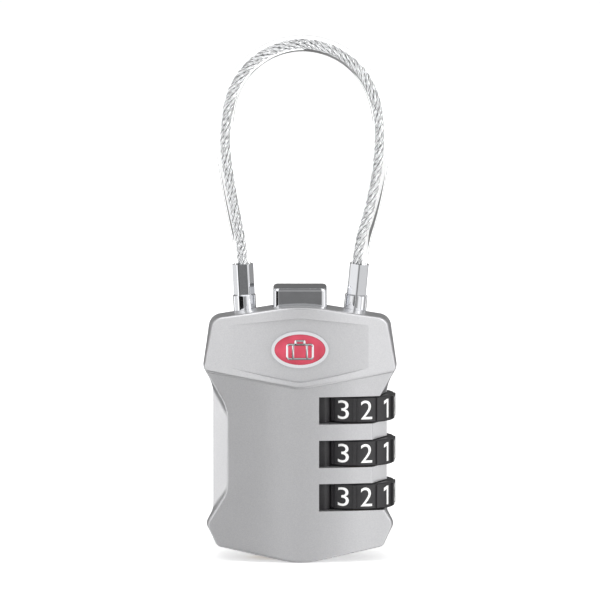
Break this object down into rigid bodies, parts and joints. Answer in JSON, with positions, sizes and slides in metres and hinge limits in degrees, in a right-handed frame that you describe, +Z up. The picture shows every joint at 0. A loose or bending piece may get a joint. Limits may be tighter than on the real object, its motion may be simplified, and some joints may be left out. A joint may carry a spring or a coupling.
{
  "type": "cable luggage lock",
  "caption": "Combination luggage lock with a flexible cable loop, numbered dials at the side, a release button on top and a key cylinder in the base.",
  "frame": {"origin": "under the middle of the casing, at the height of its lowest point", "axes": "+X to the side the dials are on, -Y the front face with the badge, +Y the flat back, +Z up to the cable"},
  "size_m": [0.0322, 0.0158, 0.0877],
  "materials": {
    "casing_paint": "satin silver-grey paint on zinc",
    "chrome": "polished chrome plate",
    "dial_plastic": "moulded black, satin, with white digits",
    "cable_jacket": "clear vinyl jacket over bright wire rope",
    "badge_enamel": "red enamel",
    "spring_steel": "bright drawn wire",
    "screw_steel": "zinc-plated",
    "brass": "turned brass",
    "cast_zinc": "as-cast, unpainted"
  },
  "bodies": {
    "casing": {"front_shell": "casing_paint", "back_cover": "casing_paint", "case_screws": "screw_steel", "badge_enamel": "badge_enamel", "badge_rim": "chrome", "cable": "cable_jacket", "anchor_ferrule": "chrome", "anchor_pin": "chrome", "anchor_clip": "spring_steel", "button_springs": "spring_steel", "socket_block": "cast_zinc", "hairpin_latch": "spring_steel", "latch_retainer": "cast_zinc", "frame_screws": "screw_steel", "spindle_spring": "spring_steel", "lower_bearing": "cast_zinc", "reset_spring": "spring_steel", "detent_spring": "spring_steel", "cylinder_housing": "brass"},
    "button": {"release_button": "chrome", "release_slider": "cast_zinc", "spindle": "spring_steel"},
    "plug": {"plug_pin": "chrome", "plug_ferrule": "chrome"},
    "key_core": {"key_plug": "brass", "wafer_tumblers": "brass", "key_cam": "spring_steel", "cylinder_clip": "spring_steel"},
    "reset": {"reset_pin": "spring_steel", "sleeve_comb": "spring_steel"},
    "dial_top": {"dial_top": "dial_plastic"},
    "sleeve_top": {"code_sleeve_top": "brass"},
    "dial_middle": {"dial_middle": "dial_plastic"},
    "sleeve_middle": {"code_sleeve_middle": "brass"},
    "dial_bottom": {"dial_bottom": "dial_plastic"},
    "sleeve_bottom": {"code_sleeve_bottom": "brass"}
  },
  "joints": [
    {"name": "button_press", "type": "slide", "parent": "casing", "child": "button", "axis": [0, 0, -1], "range_m": [0, 0.0022], "stiffness_N_per_m": 300, "springref_m": -0.002, "deforming": ["button_springs", "spindle_spring", "hairpin_latch"]},
    {"name": "plug_pull", "type": "slide", "parent": "casing", "child": "plug", "axis": [0.0958, 0, 0.9954], "range_m": [0, 0.014], "deforming": ["cable"]},
    {"name": "key_turn", "type": "hinge", "parent": "casing", "child": "key_core", "pos_m": [-0.0055, 0, 0.008], "axis": [0, 0, 1], "range_deg": [0, 90]},
    {"name": "reset_press", "type": "slide", "parent": "casing", "child": "reset", "axis": [0, 0, 1], "range_m": [0, 0.00115], "stiffness_N_per_m": 300, "springref_m": -0.002, "deforming": ["reset_spring"]},
    {"name": "dial_top_turn", "type": "hinge", "parent": "casing", "child": "dial_top", "pos_m": [0.0095, 0.0002, 0.0256], "axis": [0, 0, 1], "continuous": true},
    {"name": "sleeve_top_shift", "type": "slide", "parent": "dial_top", "child": "sleeve_top", "axis": [0, 0, 1], "range_m": [0, 0.00115]},
    {"name": "dial_middle_turn", "type": "hinge", "parent": "casing", "child": "dial_middle", "pos_m": [0.0095, 0.0002, 0.0183], "axis": [0, 0, 1], "continuous": true, "deforming": ["detent_spring"]},
    {"name": "sleeve_middle_shift", "type": "slide", "parent": "dial_middle", "child": "sleeve_middle", "axis": [0, 0, 1], "range_m": [0, 0.00115]},
    {"name": "dial_bottom_turn", "type": "hinge", "parent": "casing", "child": "dial_bottom", "pos_m": [0.0095, 0.0002, 0.011], "axis": [0, 0, 1], "continuous": true},
    {"name": "sleeve_bottom_shift", "type": "slide", "parent": "dial_bottom", "child": "sleeve_bottom", "axis": [0, 0, 1], "range_m": [0, 0.00115]}
  ],
  "couplings": [
    {"joint": "sleeve_top_shift", "follows": "reset_press", "ratio": 1},
    {"joint": "sleeve_middle_shift", "follows": "reset_press", "ratio": 1},
    {"joint": "sleeve_bottom_shift", "follows": "reset_press", "ratio": 1}
  ]
}
